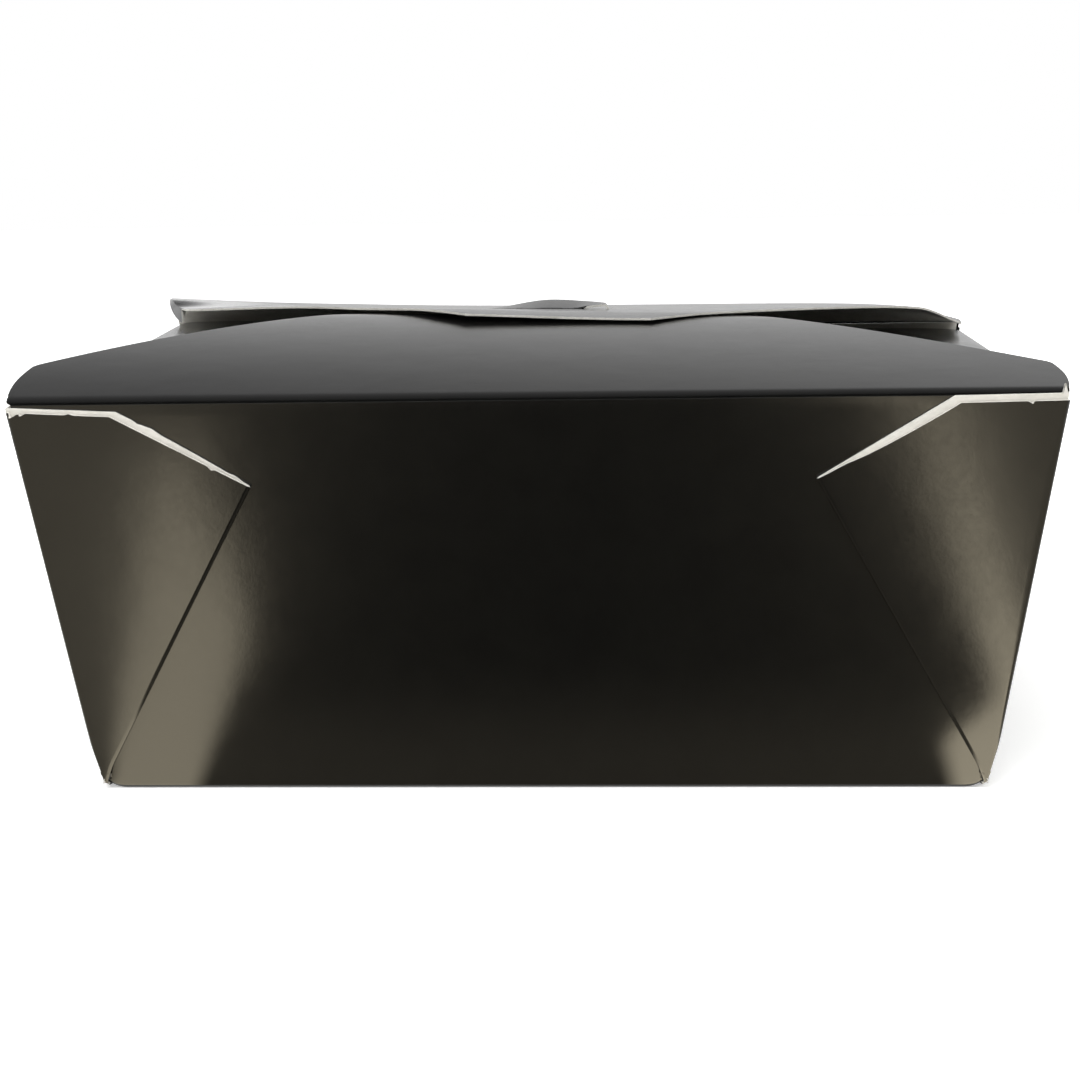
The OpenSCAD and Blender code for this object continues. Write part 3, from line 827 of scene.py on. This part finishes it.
base_panel()
front_panel()
tongue()
rear_wall()
for end in (-1, 1):
    end_panel(end)
for number, (end, long_side) in enumerate([(-1, -1), (1, -1), (-1, 1), (1, 1)]):
    web(end, long_side, number)
    base_corner(end, long_side)
top_flap()
crease_bead()


# Stage: pale floor, soft light, camera at the photo's place

def plane(name, corners, z):
    """A flat stage sheet with these corners, in millimetres."""
    mesh = bpy.data.meshes.new(name)
    mesh.from_pydata([(x * MM, y * MM, z * MM) for x, y in corners], [], [list(range(len(corners)))])
    made = bpy.data.objects.new(name, mesh)
    bpy.context.scene.collection.objects.link(made)
    return made


def floor_material():
    """Pale matt floor. For the camera alone it is lifted to white, so its shadow stays."""
    material, tree = empty_material("pale floor")
    matt = node(tree, "ShaderNodeBsdfDiffuse", {}, {"Color": linear("#f2f2f0")})
    spot = node(tree, "ShaderNodeTexCoord")
    away = node(tree, "ShaderNodeVectorMath", {"operation": "LENGTH"})
    tree.links.new(spot.outputs["Object"], away.inputs[0])
    rising = ramp(tree, away.outputs["Value"], 0.16, 0.5, 0.45, 1.1)
    lift = node(tree, "ShaderNodeEmission", {}, {"Color": (1, 1, 1, 1)}, Strength=rising)
    path = node(tree, "ShaderNodeLightPath")
    # A little of the lift shows in reflections too
    part = ramp(tree, path.outputs["Is Glossy Ray"], 0, 1, 0.0, 0.22)
    mirrored = node(tree, "ShaderNodeEmission", {}, {"Color": (1, 1, 1, 1)}, Strength=part)
    shown = node(tree, "ShaderNodeMixShader", {}, {}, Fac=path.outputs["Is Camera Ray"])
    tree.links.new(mirrored.outputs[0], shown.inputs[1])
    tree.links.new(lift.outputs[0], shown.inputs[2])
    both = node(tree, "ShaderNodeAddShader")
    tree.links.new(matt.outputs[0], both.inputs[0])
    tree.links.new(shown.outputs[0], both.inputs[1])
    node(tree, "ShaderNodeOutputMaterial", Surface=both.outputs[0])
    return material


def soft_world():
    """White for the camera. For the rest, a pale backdrop behind and above, and dark in front."""
    world = bpy.data.worlds.new("soft studio")
    bpy.context.scene.world = world
    world.use_nodes = True
    tree = world.node_tree
    tree.nodes.clear()
    coords = node(tree, "ShaderNodeTexCoord")
    split = node(tree, "ShaderNodeSeparateXYZ", Vector=coords.outputs["Generated"])
    height = node(tree, "ShaderNodeValToRGB", Fac=split.outputs["Z"])
    # Brightness of the backdrop from the horizon at 0 to straight above at 1
    stops = [(0.0, 1.0), (0.08, 0.84), (0.15, 0.74), (0.27, 0.78), (0.35, 0.73), (0.41, 0.64),
             (0.46, 0.51), (0.5, 0.44), (0.56, 0.25), (1.0, 0.25)]
    height.color_ramp.elements[0].position = 0.0
    height.color_ramp.elements[1].position = 1.0
    for at, _ in stops[1:-1]:
        height.color_ramp.elements.new(at)
    for element, (at, value) in zip(height.color_ramp.elements, stops):
        element.position = at
        element.color = (value / 2, value / 2, value / 2, 1)
    behind = eased(tree, split.outputs["Y"], -0.55, -0.05, 0.06, 1.0)
    tone = maths(tree, "MULTIPLY", ramp(tree, height.outputs["Color"], 0, 1, 0, 2), behind)
    seen = node(tree, "ShaderNodeBackground", {}, {"Color": (1, 1, 1, 1), "Strength": 1.0})
    # Brighter on the left, where the bent ear of the rear flap looks
    sideways = eased(tree, split.outputs["X"], -0.5, -0.3, 2.6, 1.0)
    mirrored = node(tree, "ShaderNodeBackground", {}, {}, Color=tone, Strength=sideways)
    # The matt parts get most of their light from the softboxes above, so the gaps stay dark
    glow = node(tree, "ShaderNodeBackground", {}, {"Color": (1, 1, 1, 1), "Strength": 0.12})
    path = node(tree, "ShaderNodeLightPath")
    lit = node(tree, "ShaderNodeMixShader", Fac=path.outputs["Is Diffuse Ray"])
    tree.links.new(mirrored.outputs[0], lit.inputs[1])
    tree.links.new(glow.outputs[0], lit.inputs[2])
    both = node(tree, "ShaderNodeMixShader", Fac=path.outputs["Is Camera Ray"])
    tree.links.new(lit.outputs[0], both.inputs[1])
    tree.links.new(seen.outputs[0], both.inputs[2])
    node(tree, "ShaderNodeOutputWorld", Surface=both.outputs[0])


BOX_MIDDLE = (0, 0, 60)


def softbox(name, place, size, power):
    """A soft lamp aimed at the middle of the box, for the matt parts: reflections don't see it."""
    light = bpy.data.lights.new(name, "AREA")
    light.shape = "RECTANGLE"
    light.size, light.size_y = size[0] * MM, size[1] * MM
    light.energy = power
    made = bpy.data.objects.new(name, light)
    bpy.context.scene.collection.objects.link(made)
    from_to = np.array(BOX_MIDDLE, float) - np.array(place, float)
    z = -from_to / np.linalg.norm(from_to)
    x = np.cross((0, 0, 1), z)
    x /= np.linalg.norm(x)
    y = np.cross(z, x)
    matrix = Matrix([list(row) for row in np.stack([x, y, z], axis=1)]).to_4x4()
    matrix.translation = [v * MM for v in place]
    made.matrix_world = matrix
    made.visible_camera = False
    made.visible_glossy = False


def only_mirrored(card):
    """Lets nothing but reflections see a card."""
    for use in ("visible_camera", "visible_diffuse", "visible_transmission", "visible_shadow"):
        setattr(card, use, False)


def table_card():
    """What the front wall mirrors of the table, seen by reflections alone: two bright strips that
    run towards the camera, dark between them and grey outside them."""
    material, tree = empty_material("table card")
    near_edge, far_edge, half, above_floor = 70.2, 700, 300, 0.15
    place = node(tree, "ShaderNodeTexCoord")
    split = node(tree, "ShaderNodeSeparateXYZ", Vector=place.outputs["Object"])
    x = maths(tree, "MULTIPLY", split.outputs["X"], 1 / MM)
    distance = maths(tree, "MULTIPLY", split.outputs["Y"], -1 / MM)
    # The strips' edges from left to right: two distances in front of the box and the x at each,
    # and the last edge straight ahead
    edges = [
        ramp(tree, distance, 76, 676, -97.5, -192.0),
        eased(tree, distance, 122, 278, -77.0, -114.0),
        eased(tree, distance, 85, 115, 90.7, 105.4),
        116.7,
    ]
    past = [eased(tree, maths(tree, "SUBTRACT", x, edge), -3, 3, 0, 1) for edge in edges]
    across = maths(tree, "MULTIPLY", x, 1 / 80)
    middle = maths(tree, "ADD", maths(tree, "MULTIPLY", maths(tree, "MULTIPLY", across, across), 0.1), 0.07)
    middle = maths(tree, "ADD", middle, eased(tree, distance, 75, 130, 0.25, 0.0))
    # Each edge adds the difference between what lies on its two sides
    outside, right_strip, far_side = 0.92, 6.3, 0.8
    left_strip = eased(tree, distance, 240, 285, 4.2, 0.6)
    total = maths(tree, "ADD", maths(tree, "MULTIPLY", past[0], maths(
        tree, "SUBTRACT", left_strip, outside)), outside)
    total = maths(tree, "ADD", total, maths(tree, "MULTIPLY", past[1], maths(
        tree, "SUBTRACT", middle, left_strip)))
    total = maths(tree, "ADD", total, maths(tree, "MULTIPLY", past[2], maths(
        tree, "SUBTRACT", maths(tree, "MULTIPLY", middle, -1.0), -right_strip)))
    total = maths(tree, "ADD", total, maths(tree, "MULTIPLY", past[3], far_side - right_strip))
    glow = node(tree, "ShaderNodeEmission", {}, {"Color": linear("#fff2d4")}, Strength=total)
    node(tree, "ShaderNodeOutputMaterial", Surface=glow.outputs[0])
    card = plane("table card", [(-half, -near_edge), (half, -near_edge), (half, -far_edge),
                                (-half, -far_edge)], above_floor)
    card.data.materials.append(material)
    only_mirrored(card)


def flap_card():
    """A lit card behind the box on the left, which the sagging end of the rear flap mirrors."""
    material, tree = empty_material("flap card")
    place = node(tree, "ShaderNodeTexCoord")
    split = node(tree, "ShaderNodeSeparateXYZ", Vector=place.outputs["Object"])
    rising = ramp(tree, split.outputs["Z"], 0.102, 0.117, 0.8, 3.0)
    glow = node(tree, "ShaderNodeEmission", {}, {"Color": (1, 1, 1, 1)}, Strength=rising)
    node(tree, "ShaderNodeOutputMaterial", Surface=glow.outputs[0])
    left, right, behind, low, high = -170, -84, 112, 99, 119
    mesh = bpy.data.meshes.new("flap card")
    corners = [(left, behind, low), (right, behind, low), (right, behind, high), (left, behind, high)]
    mesh.from_pydata([(x * MM, y * MM, z * MM) for x, y, z in corners], [], [[0, 1, 2, 3]])
    mesh.materials.append(material)
    card = bpy.data.objects.new("flap card", mesh)
    bpy.context.scene.collection.objects.link(card)
    only_mirrored(card)


FLOOR_HALF = 3000
FLOOR_LEVEL = -0.05
floor = plane("floor", [(-FLOOR_HALF, -FLOOR_HALF), (FLOOR_HALF, -FLOOR_HALF),
                        (FLOOR_HALF, FLOOR_HALF), (-FLOOR_HALF, FLOOR_HALF)], FLOOR_LEVEL)
floor.data.materials.append(floor_material())
table_card()
flap_card()
softbox("key", (-250, -700, 1100), (900, 700), 18)
softbox("fill", (700, -300, 900), (600, 600), 6)
soft_world()

# Camera fitted to the box corners in the photo
AZIMUTH, PITCH, ROLL = (math.radians(v) for v in (3.363, 10.752, -1.047))
CAMERA_PLACE = (27.5, -524.8, 142.5)
FOCAL_PIXELS = 2138.1
PICTURE_PIXELS = 1080
SENSOR = 36.0
ahead = np.array([-math.sin(AZIMUTH) * math.cos(PITCH), math.cos(AZIMUTH) * math.cos(PITCH),
                  -math.sin(PITCH)])
level = np.array([math.cos(AZIMUTH), math.sin(AZIMUTH), 0.0])
above = np.cross(level, ahead)
to_right = math.cos(ROLL) * level + math.sin(ROLL) * above
to_top = -math.sin(ROLL) * level + math.cos(ROLL) * above
camera_data = bpy.data.cameras.new("camera")
camera_data.sensor_width = SENSOR
camera_data.lens = FOCAL_PIXELS / PICTURE_PIXELS * SENSOR
camera_data.clip_start = 0.01
camera_data.clip_end = 50
camera = bpy.data.objects.new("camera", camera_data)
bpy.context.scene.collection.objects.link(camera)
pose = Matrix([list(row) for row in np.stack([to_right, to_top, -ahead], axis=1)]).to_4x4()
pose.translation = [v * MM for v in CAMERA_PLACE]
camera.matrix_world = pose
bpy.context.scene.camera = camera
bpy.context.scene.view_settings.view_transform = "Standard"

bpy.context.view_layer.update()
